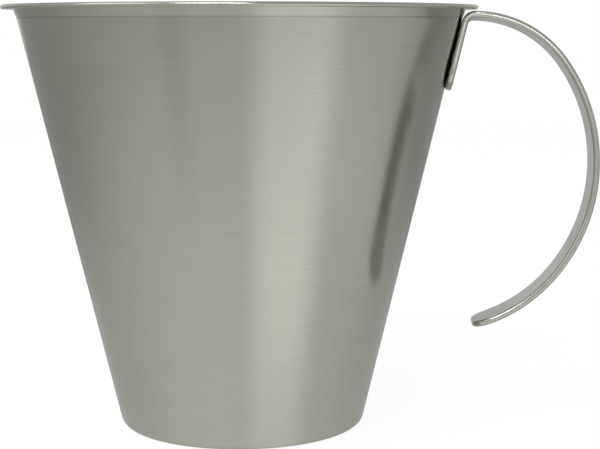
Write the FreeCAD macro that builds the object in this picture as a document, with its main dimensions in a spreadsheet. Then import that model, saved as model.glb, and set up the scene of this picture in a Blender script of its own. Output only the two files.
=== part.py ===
import FreeCAD, Part
import math
import os

import Sketcher
from FreeCAD import Vector

# A one litre measuring jug of thin stainless sheet. The vessel is one tapered cup with a flared neck
# and an outward rim that is folded back under itself. A bent flat strip is welded to it as a handle.
#
# Millimetres. The jug's axis is Z, it stands on Z = 0, and its handle points to +X.

# How near two measured lengths must be to count as the same, in millimetres.
NEAR = 1e-3

# name, value, what it is
DRIVING_SIZES = (
    ("jug_height", 134.4, "standing plane to the top of the rim"),
    ("foot_radius", 39.0, "outside of the wall, carried down to the standing plane"),
    ("mouth_radius", 71.0, "outside of the wall, carried up to the rim's top plane"),
    ("sheet", 0.6, "thickness of the vessel's sheet"),
    ("foot_bend", 3.0, "outside radius between wall and base"),
    ("panel_inset", 6.0, "outside of the wall, at the standing plane, in to the base's raised middle"),
    ("panel_rise", 1.2, "how far that middle is raised"),
    ("panel_bend", 1.2, "radii of the step around the raised middle"),
    ("rim_width", 3.25, "outside of the neck's top out to the outside of the rim"),
    ("neck_height", 4.0, "crease under the rim to the rim's top plane"),
    ("neck_angle", 23.0, "lean of the flared neck, degrees off the axis"),
    ("neck_bend", 0.5, "inside radius of the bend from neck to rim"),
    ("hem_gap", 0.15, "slit left between the rim's two layers"),
    ("hem_clearance", 0.35, "outside of the neck's top out to the folded edge"),
    ("mark_step", 50.0, "millilitres from one measuring mark to the next"),
    ("mark_count", 19.0, "number of measuring marks"),
    ("first_mark", 100.0, "millilitres at the lowest mark"),
    ("long_mark_step", 250.0, "millilitres from one long mark to the next"),
    ("mark_depth", 0.15, "depth of a mark in the inside of the wall"),
    ("mark_height", 0.6, "height of a mark's line"),
    ("long_mark_arc", 26.0, "degrees round the wall that a long mark takes"),
    ("short_mark_arc", 12.0, "degrees round the wall that a short mark takes"),
    ("strip_width", 20.0, "width of the handle's strip"),
    ("strip_thickness", 2.0, "thickness of the handle's strip"),
    ("strip_edge", 0.7, "rounding along the strip's long edges and ends"),
    ("strip_corner", 6.5, "radius of the strip's four corners"),
    ("tang_length", 21.5, "straight part of the strip that lies along the wall"),
    ("bend_radius", 2.0, "inside radius of the bend at the top of the tang"),
    ("crown_radius", 34.0, "middle of the strip, over the top of the handle"),
    ("crown_angle", 54.0, "degrees that the crown turns, starting level"),
    ("grip_radius", 54.5, "middle of the strip, where the fingers go"),
    ("grip_angle", 77.0, "degrees that the grip turns"),
    ("tail_radius", 47.5, "middle of the strip, towards the free end"),
    ("tail_angle", 31.0, "degrees that the tail turns"),
    ("tail_length", 3.0, "straight end of the strip"),
    ("handle_tilt", 3.0, "degrees that the handle is turned on its welds, off plumb"),
    ("handle_clearance", 0.45, "rim's underside to the highest edge of the handle"),
    ("weld_gap", 0.2, "height of the welds, from the wall to the tang"),
    ("weld_diameter", 5.0, "diameter of a spot weld"),
    ("weld_pitch", 9.0, "distance between the two spot welds"),
    ("print_depth", 0.15, "depth of the round prints that welding left in the tang's outer face"),
)

# name, formula, what it is
DERIVED_SIZES = (
    ("wall_angle", "=atan((mouth_radius - foot_radius) / jug_height)",
     "lean of the wall off the axis"),
    ("crease_height", "=jug_height - neck_height", "where the neck starts"),
    ("crease_radius", "=foot_radius + crease_height * tan(wall_angle)", "outside of the wall there"),
    ("neck_top_radius", "=crease_radius + neck_height * tan(neck_angle * 1deg)",
     "outside of the neck at its top"),
    ("rim_radius", "=neck_top_radius + rim_width", "outside of the rim"),
    ("panel_radius", "=foot_radius - panel_inset", "raised middle of the base"),
    ("wall_across", "=sheet / cos(wall_angle)", "the sheet's thickness measured level"),
    ("hem_thickness", "=2 * sheet + hem_gap", "thickness of the folded rim"),
    ("inner_foot_radius", "=foot_radius + sheet * tan(wall_angle) - wall_across",
     "inside of the wall at the floor"),
    ("strip_bend", "=bend_radius + strip_thickness / 2", "middle of the strip in the bend"),
    ("tilt_rise", "=strip_width / 2 * sin(handle_tilt * 1deg)", "how far the tilt lifts one edge"),
    ("crown_top", "=jug_height - hem_thickness - handle_clearance - tilt_rise",
     "top of the handle"),
    ("bend_drop", "=strip_bend + strip_thickness / 2"
     " - (weld_gap + strip_thickness / 2 + strip_bend) * sin(wall_angle)",
     "top of the handle down to the wall beside the bend's start"),
    ("tang_foot", "=crown_top - bend_drop - tang_length * cos(wall_angle)",
     "height of the tang's lower end"),
    ("tang_foot_radius", "=foot_radius + tang_foot * tan(wall_angle)",
     "outside of the wall there"),
    ("weld_middle", "=tang_length / 2", "halfway between the welds, up the tang"),
)


def make_sizes(doc):
    """The sheet that every feature reads."""
    sheet = doc.addObject("Spreadsheet::Sheet", "Sizes")
    for row, (name, value, meaning) in enumerate(DRIVING_SIZES + DERIVED_SIZES, start=1):
        sheet.set(f"A{row}", name)
        sheet.set(f"B{row}", str(value))
        sheet.setAlias(f"B{row}", name)
        sheet.set(f"C{row}", meaning)
    doc.recompute()
    return sheet


def number(sheet, expression):
    """Value of an expression on the sheet, as a plain number."""
    found = sheet.evalExpression(expression)
    return float(getattr(found, "Value", found))


def origin_plane(body, role):
    return next(feature for feature in body.Origin.OriginFeatures if feature.Role == role)


def add_sketch(body, name, role):
    sketch = body.newObject("Sketcher::SketchObject", name)
    sketch.AttachmentSupport = [(origin_plane(body, role), "")]
    sketch.MapMode = "FlatFace"
    return sketch


def bind(sketch, name, constraint, expression):
    """Add a constraint and tie its value to an expression."""
    index = sketch.addConstraint(constraint)
    sketch.renameConstraint(index, name)
    sketch.setExpression(f"Constraints.{name}", expression)


def pin_point(sketch, sheet, name, geometry, end, across, up):
    """Hold one point of a sketch at two expressions, measured from the sketch's origin."""
    origin = (-1, 1)
    for axis, kind, expression in (("x", "DistanceX", across), ("y", "DistanceY", up)):
        distance = Sketcher.Constraint(kind, *origin, geometry, end, number(sheet, expression))
        bind(sketch, f"{name}_{axis}", distance, expression)


def add_outline(sketch, sheet, corners):
    """Closed outline of straight lines through named corners, each held at two expressions."""
    points = [Vector(number(sheet, across), number(sheet, up), 0) for _, across, up in corners]
    lines = []
    for start, end in zip(points, points[1:] + points[:1]):
        lines.append(sketch.addGeometry(Part.LineSegment(start, end), False))
    for line, following in zip(lines, lines[1:] + lines[:1]):
        sketch.addConstraint(Sketcher.Constraint("Coincident", line, 2, following, 1))
    for line, (name, across, up) in zip(lines, corners):
        pin_point(sketch, sheet, name, line, 1, across, up)


def add_turned(body, kind, name, sketch, degrees=None):
    """Revolution or Groove of a sketch about the jug's axis."""
    feature = body.newObject(f"PartDesign::{kind}", name)
    feature.Profile = sketch
    feature.ReferenceAxis = (sketch, ["V_Axis"])
    feature.Angle = 360.0
    if degrees:
        feature.Midplane = True
        feature.setExpression("Angle", degrees)
    return feature


def rings(shape, radius, height):
    """Names of the circular edges about the Z axis that have this radius and height."""
    names = []
    for index, edge in enumerate(shape.Edges, start=1):
        curve = edge.Curve
        if not isinstance(curve, Part.Circle):
            continue
        centre = curve.Center
        if math.hypot(centre.x, centre.y) < NEAR and abs(centre.z - height) < NEAR:
            if abs(curve.Radius - radius) < NEAR:
                names.append(f"Edge{index}")
    return names


def add_fillet(body, name, base, edges, radius):
    fillet = body.newObject("PartDesign::Fillet", name)
    fillet.Base = (base, edges)
    fillet.setExpression("Radius", radius)
    return fillet


def add_cup(body, doc, sheet):
    """Tapered cup with a raised base panel and a flared neck, shelled to the sheet's thickness."""
    sketch = add_sketch(body, "cup_outline", "XZ_Plane")
    step_outside = "Sizes.panel_radius + Sizes.panel_rise"
    add_outline(sketch, sheet, (
        ("panel_middle", "0", "Sizes.panel_rise"),
        ("panel_edge", "Sizes.panel_radius", "Sizes.panel_rise"),
        ("step_foot", step_outside, "0"),
        ("foot", "Sizes.foot_radius", "0"),
        ("crease", "Sizes.crease_radius", "Sizes.crease_height"),
        ("neck_top", "Sizes.neck_top_radius", "Sizes.jug_height"),
        ("mouth_middle", "0", "Sizes.jug_height"),
    ))
    solid = add_turned(body, "Revolution", "cup_solid", sketch)
    doc.recompute()

    foot_ring = rings(solid.Shape, number(sheet, "Sizes.foot_radius"), 0)
    foot = add_fillet(body, "foot_bend_round", solid, foot_ring, "Sizes.foot_bend")
    doc.recompute()

    step_rings = rings(foot.Shape, number(sheet, step_outside), 0)
    step_rings += rings(foot.Shape, number(sheet, "Sizes.panel_radius"), number(sheet, "Sizes.panel_rise"))
    step = add_fillet(body, "panel_step_round", foot, step_rings, "Sizes.panel_bend")
    doc.recompute()

    top = number(sheet, "Sizes.jug_height")
    mouth = next(f"Face{index}" for index, face in enumerate(step.Shape.Faces, start=1)
                 if abs(face.CenterOfMass.z - top) < NEAR)
    shell = body.newObject("PartDesign::Thickness", "cup_shell")
    shell.Base = (step, [mouth])
    shell.Reversed = True
    shell.Join = "Intersection"
    shell.setExpression("Value", "Sizes.sheet")
    doc.recompute()
    return shell


def add_rim(body, doc, sheet):
    """Level rim around the neck, its edge folded back under it as a flat hem."""
    sketch = add_sketch(body, "rim_section", "XZ_Plane")
    start = "Sizes.neck_top_radius - Sizes.sheet / 2"
    nose = "Sizes.rim_radius - Sizes.hem_thickness / 2"
    edge = "Sizes.neck_top_radius + Sizes.hem_clearance"
    top = "Sizes.jug_height"
    upper_under = "Sizes.jug_height - Sizes.sheet"
    lower_over = "Sizes.jug_height - Sizes.sheet - Sizes.hem_gap"
    bottom = "Sizes.jug_height - Sizes.hem_thickness"

    def at(across, up):
        return Vector(number(sheet, across), number(sheet, up), 0)

    runs = (
        ("top_start", start, top, nose, top),
        ("hem_bottom", nose, bottom, edge, bottom),
        ("hem_edge", edge, bottom, edge, lower_over),
        ("hem_over", edge, lower_over, nose, lower_over),
        ("slit_end", nose, lower_over, nose, upper_under),
        ("rim_under", nose, upper_under, start, upper_under),
        ("rim_root", start, upper_under, start, top),
    )
    lines = []
    for name, across, up, to_across, to_up in runs:
        line = sketch.addGeometry(Part.LineSegment(at(across, up), at(to_across, to_up)), False)
        pin_point(sketch, sheet, name, line, 1, across, up)
        lines.append(line)
    top_line, bottom_line = lines[:2]

    centre = at(nose, "Sizes.jug_height - Sizes.hem_thickness / 2")
    quarter = math.pi / 2
    circle = Part.Circle(centre, Vector(0, 0, 1), number(sheet, "Sizes.hem_thickness / 2"))
    fold = sketch.addGeometry(Part.ArcOfCircle(circle, -quarter, quarter), False)
    sketch.addConstraint(Sketcher.Constraint("Tangent", top_line, 2, fold, 2))
    sketch.addConstraint(Sketcher.Constraint("Tangent", fold, 1, bottom_line, 1))
    for line, following in zip(lines[1:], lines[2:] + lines[:1]):
        sketch.addConstraint(Sketcher.Constraint("Coincident", line, 2, following, 1))
    return add_turned(body, "Revolution", "rim_hem", sketch)


def round_neck(body, doc, sheet, rim):
    """Bend between the neck and the rim, one sheet thick all round."""
    doc.recompute()
    inside = "Sizes.neck_top_radius - Sizes.sheet / cos(Sizes.neck_angle * 1deg)"
    under = "Sizes.neck_top_radius - Sizes.sheet * tan(Sizes.neck_angle * 1deg)"
    top = number(sheet, "Sizes.jug_height")
    mouth_ring = rings(rim.Shape, number(sheet, inside), top)
    mouth = add_fillet(body, "mouth_round", rim, mouth_ring, "Sizes.neck_bend + Sizes.sheet")
    doc.recompute()
    under_ring = rings(mouth.Shape, number(sheet, under), top - number(sheet, "Sizes.sheet"))
    return add_fillet(body, "neck_round", mouth, under_ring, "Sizes.neck_bend")


def mark_height_expression(millilitres):
    """Height of a liquid surface in the cup, from the volume of a cut cone and of the raised panel."""
    slope = "tan(Sizes.wall_angle)"
    panel = "pi * (Sizes.panel_radius + Sizes.panel_rise / 2) ^ 2 * Sizes.panel_rise"
    cone = f"3 * {slope} / pi * ({millilitres} * 1000 + {panel})"
    surface_radius = f"(Sizes.inner_foot_radius ^ 3 + {cone}) ^ (1 / 3)"
    return f"(Sizes.sheet + ({surface_radius} - Sizes.inner_foot_radius) / {slope})"


def add_marks(body, sheet, name, volumes, degrees):
    """Measuring lines let into the inside of the wall, all of one length round the jug."""
    sketch = add_sketch(body, f"{name}_sections", "YZ_Plane")
    spare = "Sizes.sheet / 2"
    for millilitres in volumes:
        middle = mark_height_expression(millilitres)
        corners = []
        for side, sign in (("low", "-"), ("high", "+")):
            up = f"{middle} {sign} Sizes.mark_height / 2"
            wall = f"Sizes.foot_radius - Sizes.wall_across + ({up}) * tan(Sizes.wall_angle)"
            corners.append((f"{name}_{millilitres:.0f}_{side}_air", f"{wall} - {spare}", up))
            corners.append((f"{name}_{millilitres:.0f}_{side}_cut", f"{wall} + Sizes.mark_depth", up))
        low_air, low_cut, high_air, high_cut = corners
        add_outline(sketch, sheet, (low_air, low_cut, high_cut, high_air))
    return add_turned(body, "Groove", name, sketch, degrees)


def make_jug_body(doc, sheet):
    """The vessel, one piece of sheet."""
    body = doc.addObject("PartDesign::Body", "JugBody")
    body.Label = "jug_body"
    add_cup(body, doc, sheet)
    rim = add_rim(body, doc, sheet)
    body.Tip = round_neck(body, doc, sheet, rim)
    doc.recompute()

    first, step = number(sheet, "Sizes.first_mark"), number(sheet, "Sizes.mark_step")
    volumes = [first + step * index for index in range(int(number(sheet, "Sizes.mark_count")))]
    long_step = number(sheet, "Sizes.long_mark_step")
    long_marks = [volume for volume in volumes if volume % long_step == 0]
    short_marks = [volume for volume in volumes if volume % long_step]
    for name, chosen, degrees in (("long_marks", long_marks, "Sizes.long_mark_arc"),
                                  ("short_marks", short_marks, "Sizes.short_mark_arc")):
        before = body.Shape.Volume
        body.Tip = add_marks(body, sheet, name, chosen, degrees)
        doc.recompute()
        cut_away = before - body.Shape.Volume
        print(f"{name}: {cut_away:.2f} mm3 cut away")
        if cut_away < NEAR:
            raise RuntimeError(f"{name} cut nothing")
    return body


def wall_frame_expression(up_the_wall="0"):
    """Placement of the tang: X out of the wall, Z up it, turned by the handle's tilt about the welds."""
    foot = "vector(Sizes.tang_foot_radius; 0; Sizes.tang_foot)"
    lean = "rotation(vector(0; 1; 0); Sizes.wall_angle)"
    tilt = "rotation(vector(1; 0; 0); -Sizes.handle_tilt * 1deg)"
    level = "rotation(vector(0; 0; 1); 0deg)"
    return (f"placement({foot}; {lean})"
            f" * placement(vector(Sizes.weld_gap; 0; Sizes.weld_middle); {tilt})"
            f" * placement(vector(0; 0; {up_the_wall} - Sizes.weld_middle); {level})")


def add_handle_path(body, sheet):
    """Middle line of the strip from the side: the tang, its bend and three arcs round to the tail."""
    sketch = add_sketch(body, "strip_path", "XZ_Plane")
    middle = "Sizes.strip_thickness / 2"
    place = Vector(number(sheet, middle), 0, 0)
    heading = math.pi / 2

    def ahead(distance):
        return place + Vector(math.cos(heading), math.sin(heading), 0) * distance

    tang_top = ahead(number(sheet, "Sizes.tang_length"))
    tang = sketch.addGeometry(Part.LineSegment(place, tang_top), False)
    place = tang_top
    pin_point(sketch, sheet, "tang_start", tang, 1, middle, "0")
    sketch.addConstraint(Sketcher.Constraint("Vertical", tang))
    bind(sketch, "tang_run", Sketcher.Constraint("Distance", tang, 1.0), "Sizes.tang_length")

    arcs = (
        ("bend", "Sizes.strip_bend", "90deg - Sizes.wall_angle"),
        ("crown", "Sizes.crown_radius", "Sizes.crown_angle * 1deg"),
        ("grip", "Sizes.grip_radius", "Sizes.grip_angle * 1deg"),
        ("tail", "Sizes.tail_radius", "Sizes.tail_angle * 1deg"),
    )
    previous, previous_end = tang, 2
    for name, radius, turn in arcs:
        size, angle = number(sheet, radius), math.radians(number(sheet, turn))
        centre = place + Vector(math.sin(heading), -math.cos(heading), 0) * size
        begin = heading + math.pi / 2
        circle = Part.Circle(centre, Vector(0, 0, 1), size)
        arc = sketch.addGeometry(Part.ArcOfCircle(circle, begin - angle, begin), False)
        sketch.addConstraint(Sketcher.Constraint("Tangent", previous, previous_end, arc, 2))
        bind(sketch, f"{name}_radius", Sketcher.Constraint("Radius", arc, size), radius)
        bind(sketch, f"{name}_turn", Sketcher.Constraint("Angle", arc, angle), turn)
        heading -= angle
        place = centre - Vector(math.sin(heading), -math.cos(heading), 0) * size
        previous, previous_end = arc, 1

    free_end = ahead(number(sheet, "Sizes.tail_length"))
    end = sketch.addGeometry(Part.LineSegment(place, free_end), False)
    sketch.addConstraint(Sketcher.Constraint("Tangent", previous, previous_end, end, 1))
    bind(sketch, "tail_run", Sketcher.Constraint("Distance", end, 1.0), "Sizes.tail_length")
    return sketch


def add_weld_prints(body, sheet):
    """Shallow round prints of the welding tool in the tang's outer face, over the two welds."""
    sketch = add_sketch(body, "weld_print_circles", "YZ_Plane")
    sketch.setExpression("AttachmentOffset.Base.z", "Sizes.strip_thickness")
    for name, side in (("lower", "-"), ("upper", "+")):
        up = f"Sizes.weld_middle {side} Sizes.weld_pitch / 2"
        radius = number(sheet, "Sizes.weld_diameter / 2")
        circle = Part.Circle(Vector(0, number(sheet, up), 0), Vector(0, 0, 1), radius)
        ring = sketch.addGeometry(circle, False)
        pin_point(sketch, sheet, f"{name}_print", ring, 3, "0", up)
        size = Sketcher.Constraint("Radius", ring, radius)
        bind(sketch, f"{name}_print_radius", size, "Sizes.weld_diameter / 2")
    prints = body.newObject("PartDesign::Pocket", "weld_prints")
    prints.Profile = sketch
    prints.setExpression("Length", "Sizes.print_depth")
    return prints


def make_handle(doc, sheet):
    """Flat strip swept along its path, its corners and edges rounded, printed where it is welded."""
    body = doc.addObject("PartDesign::Body", "Handle")
    body.Label = "handle"
    path = add_handle_path(body, sheet)
    section = add_sketch(body, "strip_section", "XY_Plane")
    near, far = "-Sizes.strip_width / 2", "Sizes.strip_width / 2"
    add_outline(section, sheet, (
        ("wall_side_near", "0", near),
        ("grip_side_near", "Sizes.strip_thickness", near),
        ("grip_side_far", "Sizes.strip_thickness", far),
        ("wall_side_far", "0", far),
    ))
    doc.recompute()

    strip = body.newObject("PartDesign::AdditivePipe", "strip")
    strip.Profile = section
    strip.Spine = (path, [f"Edge{index + 1}" for index in range(len(path.Shape.Edges))])
    strip.Mode = "Binormal"
    strip.Binormal = Vector(0, 1, 0)
    doc.recompute()

    thickness, width = number(sheet, "Sizes.strip_thickness"), number(sheet, "Sizes.strip_width")
    corners = [f"Edge{index}" for index, edge in enumerate(strip.Shape.Edges, start=1)
               if abs(edge.Length - thickness) < NEAR and edge.BoundBox.YLength < NEAR]
    if len(corners) != 4:
        raise RuntimeError(f"the strip has {len(corners)} corner edges, not 4")
    cornered = add_fillet(body, "corner_round", strip, corners, "Sizes.strip_corner")
    doc.recompute()

    # The rounding follows both faces' outlines, and skips the seams that run straight across the strip.
    outlines = []
    for index, edge in enumerate(cornered.Shape.Edges, start=1):
        off_middle = [Part.Vertex(Vector(point.x, 0, point.z)).distToShape(path.Shape)[0]
                      for point in edge.discretize(5)[1:-1]]
        on_a_face = all(abs(distance - thickness / 2) < NEAR for distance in off_middle)
        if on_a_face and edge.BoundBox.YLength < width - NEAR:
            outlines.append(f"Edge{index}")
    add_fillet(body, "edge_round", cornered, outlines, "Sizes.strip_edge")
    doc.recompute()
    body.Tip = add_weld_prints(body, sheet)
    body.setExpression("Placement", wall_frame_expression())
    doc.recompute()
    return body


def make_spot_welds(doc, sheet):
    """Two round weld nuggets that fill the gap between the round wall and the flat tang."""
    wall = doc.addObject("Part::Cone", "WallCone")
    wall.setExpression("Radius1", "Sizes.foot_radius")
    wall.setExpression("Radius2", "Sizes.mouth_radius")
    wall.setExpression("Height", "Sizes.jug_height")
    pegs = []
    for name, side in (("LowerWeld", "-"), ("UpperWeld", "+")):
        peg = doc.addObject("Part::Cylinder", name)
        peg.setExpression("Radius", "Sizes.weld_diameter / 2")
        peg.setExpression("Height", "Sizes.weld_gap + Sizes.sheet")
        up_the_wall = f"(Sizes.weld_middle {side} Sizes.weld_pitch / 2)"
        into_the_wall = "placement(vector(0; 0; 0); rotation(vector(0; 1; 0); -90deg))"
        peg.setExpression("Placement", f"{wall_frame_expression(up_the_wall)} * {into_the_wall}")
        pegs.append(peg)
    pair = doc.addObject("Part::MultiFuse", "WeldPegs")
    pair.Shapes = pegs
    welds = doc.addObject("Part::Cut", "SpotWelds")
    welds.Base = pair
    welds.Tool = wall
    welds.Label = "spot_welds"
    doc.recompute()
    return welds


def check_document(doc, parts):
    """Stop if any object failed, or a piece is empty, broken or not made of the solids it should be."""
    for item in doc.Objects:
        if {"Invalid", "Error"} & set(item.State):
            raise RuntimeError(f"{item.Name} failed: {item.State}")
    for part, solids in parts:
        shape = part.Shape
        if shape.isNull() or not shape.isValid() or len(shape.Solids) != solids:
            raise RuntimeError(f"{part.Label} is not {solids} valid solid(s)")
        box = shape.optimalBoundingBox(True, False)
        print(f"{part.Label}: {len(shape.Solids)} solid(s), {shape.Volume:.1f} mm3,"
              f" X {box.XMin:.2f}..{box.XMax:.2f}, Y {box.YMin:.2f}..{box.YMax:.2f},"
              f" Z {box.ZMin:.2f}..{box.ZMax:.2f}")


def main():
    doc = FreeCAD.newDocument("measuring_jug")
    sheet = make_sizes(doc)
    parts = (
        (make_jug_body(doc, sheet), 1),
        (make_handle(doc, sheet), 1),
        (make_spot_welds(doc, sheet), 2),
    )
    check_document(doc, parts)
    os.makedirs("parts", exist_ok=True)
    for part, _ in parts:
        part.Shape.exportStep(f"parts/{part.Label}.step")


main()
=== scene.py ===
import math

import bmesh
import bpy
from bpy.props import FloatProperty, FloatVectorProperty, IntProperty, PointerProperty
from bpy.types import Operator, Panel, PropertyGroup
from mathutils import Matrix, Vector


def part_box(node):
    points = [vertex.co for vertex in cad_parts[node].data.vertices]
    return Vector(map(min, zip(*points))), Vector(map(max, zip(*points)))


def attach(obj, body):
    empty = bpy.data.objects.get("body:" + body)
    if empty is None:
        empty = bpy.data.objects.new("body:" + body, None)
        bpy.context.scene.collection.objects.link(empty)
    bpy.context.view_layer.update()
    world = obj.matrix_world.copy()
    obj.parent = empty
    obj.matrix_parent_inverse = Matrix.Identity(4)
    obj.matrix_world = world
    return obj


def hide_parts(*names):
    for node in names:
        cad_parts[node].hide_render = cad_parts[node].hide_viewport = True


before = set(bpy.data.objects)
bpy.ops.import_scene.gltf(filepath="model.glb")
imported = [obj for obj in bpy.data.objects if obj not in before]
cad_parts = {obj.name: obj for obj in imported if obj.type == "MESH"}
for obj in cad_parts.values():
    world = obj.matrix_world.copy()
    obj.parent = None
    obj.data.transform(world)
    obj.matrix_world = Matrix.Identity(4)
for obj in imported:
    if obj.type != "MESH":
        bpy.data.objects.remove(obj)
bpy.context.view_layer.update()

bl_info = {
    "name": "Steel measuring jug",
    "version": (1, 0, 0),
    "blender": (4, 5, 0),
    "location": "3D View > Sidebar > Jug",
    "description": "Turns, bends, marks and finishes a spun steel measuring jug",
    "category": "Object",
}

# Everything is in metres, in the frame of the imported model.
# The jug's axis is Z, it stands on Z = 0, and its handle points to +X.
VESSEL_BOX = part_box("jug_body")
BODY = "root"
MM = 0.001
MILLILITRE = 1e-6
SAME_PLACE = 0.001 * MM
WHITE = (1.0, 1.0, 1.0, 1.0)

# How finely the bends of the sheet and of the strip's path are stepped
BEND_STEP = math.radians(9)
PATH_STEPS_PER_DEGREE = 4

# Edges look sharp where the surface turns by more than this
SHEET_SHARP_ANGLE = math.radians(35)
EDGE_SHARP_ANGLE = math.radians(40)

# A quarter turn lays the blur of a reflection across the fine lines
ACROSS_THE_LINES = 0.25


def length(name, millimetres, description):
    """Property for a size, given in millimetres and kept in metres."""
    return FloatProperty(name=name, description=description, default=millimetres * MM,
                         subtype="DISTANCE", unit="LENGTH", precision=5)


def angle(name, degrees, description):
    return FloatProperty(name=name, description=description, default=math.radians(degrees),
                         subtype="ANGLE", unit="ROTATION")


def share(name, value, description):
    return FloatProperty(name=name, description=description, default=value, min=0.0, max=1.0,
                         subtype="FACTOR")


def colour(name, value, description):
    return FloatVectorProperty(name=name, description=description, default=value, size=3,
                               min=0.0, max=1.0, subtype="COLOR")


class VesselSizes(PropertyGroup):
    """Sizes of the spun vessel, outside measures unless they say otherwise."""

    height: FloatProperty(name="Height", description="Standing plane to the top of the rim",
                          default=VESSEL_BOX[1].z, subtype="DISTANCE", unit="LENGTH")
    foot_radius: length("Foot radius", 39.0, "Wall carried down to the standing plane")
    mouth_radius: length("Mouth radius", 71.0, "Wall carried up to the rim's top plane")
    sheet: length("Sheet", 0.6, "Thickness of the sheet")
    foot_bend: length("Foot bend", 3.0, "Outside radius between wall and base")
    panel_inset: length("Panel inset", 6.0, "Wall in to the base's raised middle")
    panel_rise: length("Panel rise", 1.2, "How far the base's middle is raised")
    panel_bend: length("Panel bend", 1.2, "Radii of the step around the raised middle")
    crease_bend: length("Crease bend", 0.35, "Outside radius of the crease under the neck")
    neck_height: length("Neck height", 4.0, "Crease to the rim's top plane")
    neck_angle: angle("Neck angle", 23.0, "Lean of the flared neck off the axis")
    neck_bend: length("Neck bend", 0.5, "Inside radius of the bend from neck to rim")
    rim_width: length("Rim width", 3.25, "Neck's top out to the outside of the rim")
    folded_edge: length("Folded edge", 0.15, "Rounding of the sheet's edge under the rim")
    hem_gap: length("Hem gap", 0.15, "Slit between the rim's two layers")
    hem_clearance: length("Hem clearance", 0.35, "Neck's top out to the folded edge")
    columns: IntProperty(name="Columns", description="Faces round the jug", default=360, min=24)


class MarkSizes(PropertyGroup):
    """The measuring lines and numbers inside the wall."""

    first: IntProperty(name="First line", description="Millilitres at the lowest line", default=100)
    step: IntProperty(name="Step", description="Millilitres between two lines", default=50)
    count: IntProperty(name="Lines", description="How many lines there are", default=19)
    long_step: IntProperty(name="Long step", description="Millilitres between two long lines",
                           default=250)
    depth: length("Depth", 0.15, "Depth of a line in the inside of the wall")
    height: length("Line height", 0.6, "Height of a line")
    flank: length("Flank", 0.08, "Height that a line's sloping side takes")
    long_arc: angle("Long arc", 26.0, "How far round the wall a long line goes")
    short_arc: angle("Short arc", 12.0, "How far round the wall a short line goes")
    number_size: length("Number size", 6.2, "Height of a row of type")
    number_gap: angle("Number gap", 1.5, "From a long line's end to its number")
    number_relief: length("Number relief", 0.05, "Thickness of the numbers")
    number_sink: length("Number sink", 0.01, "How deep the backs of the numbers lie in the wall")
    number_stroke: length("Number stroke", 0.12, "How much the type's strokes are widened")


class HandleSizes(PropertyGroup):
    """The bent strip and where it is welded."""

    width: length("Width", 20.0, "Width of the strip")
    thickness: length("Thickness", 2.0, "Thickness of the strip")
    edge: length("Edge", 0.8, "Rounding along the strip's edges")
    corner: length("Corner", 6.5, "Radius of the strip's corners")
    tang_length: length("Tang length", 21.5, "Straight part along the wall")
    bend_radius: length("Bend radius", 2.0, "Inside radius of the bend above the tang")
    crown_radius: length("Crown radius", 34.0, "Middle of the strip over the top")
    crown_angle: angle("Crown angle", 54.0, "How far the crown turns")
    grip_radius: length("Grip radius", 54.5, "Middle of the strip at the fingers")
    grip_angle: angle("Grip angle", 77.0, "How far the grip turns")
    tail_radius: length("Tail radius", 47.5, "Middle of the strip near the free end")
    tail_angle: angle("Tail angle", 31.0, "How far the tail turns")
    tail_length: length("Tail length", 3.0, "Straight end of the strip")
    tilt: angle("Tilt", 3.0, "How far the handle is turned on its welds, off plumb")
    clearance: length("Clearance", 0.45, "Rim's underside to the handle's highest edge")
    weld_gap: length("Weld gap", 0.04, "Wall to the back of the tang, too narrow to see through")
    weld_pitch: length("Weld pitch", 9.0, "Distance between the two spot welds")
    weld_diameter: length("Weld diameter", 5.0, "Diameter of a spot weld")
    print_depth: length("Print depth", 0.15, "Depth of the welding tool's prints in the tang")
    grid: length("Grid", 0.5, "Size of the faces along and across the strip")


class SteelFinish(PropertyGroup):
    """Colours, gloss and relief of the finishes."""

    vessel: colour("Vessel", (0.56, 0.56, 0.49), "Spun stainless sheet")
    handle: colour("Handle", (0.58, 0.58, 0.52), "Polished stainless strip")
    etched: colour("Etched", (0.09, 0.09, 0.085), "The darkened measuring lines and numbers")
    weld: colour("Weld", (0.36, 0.34, 0.31), "Weld metal")
    heat_tint: colour("Heat tint", (0.44, 0.36, 0.22), "Straw tint around a weld, inside the wall")
    vessel_gloss: share("Vessel roughness", 0.21, "Blur of what the vessel mirrors")
    handle_gloss: share("Handle roughness", 0.17, "Blur of what the handle mirrors")
    vessel_brush: share("Vessel brushing", 0.6, "How much more the vessel blurs across its lines")
    handle_brush: share("Handle brushing", 0.4, "How much more the handle blurs across its lines")
    vessel_lines: length("Vessel lines", 0.0003, "Depth of the fine lines round the vessel")
    handle_lines: length("Handle lines", 0.0001, "Depth of the fine lines along the handle")
    vessel_waves: length("Vessel waves", 0.12, "Height of the slow unevenness of the sheet")
    handle_waves: length("Handle waves", 0.06, "Height of the slow unevenness of the strip")
    neck_dimples: length("Neck dimples", 0.1, "Height of the unevenness that flaring left in the neck")


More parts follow.
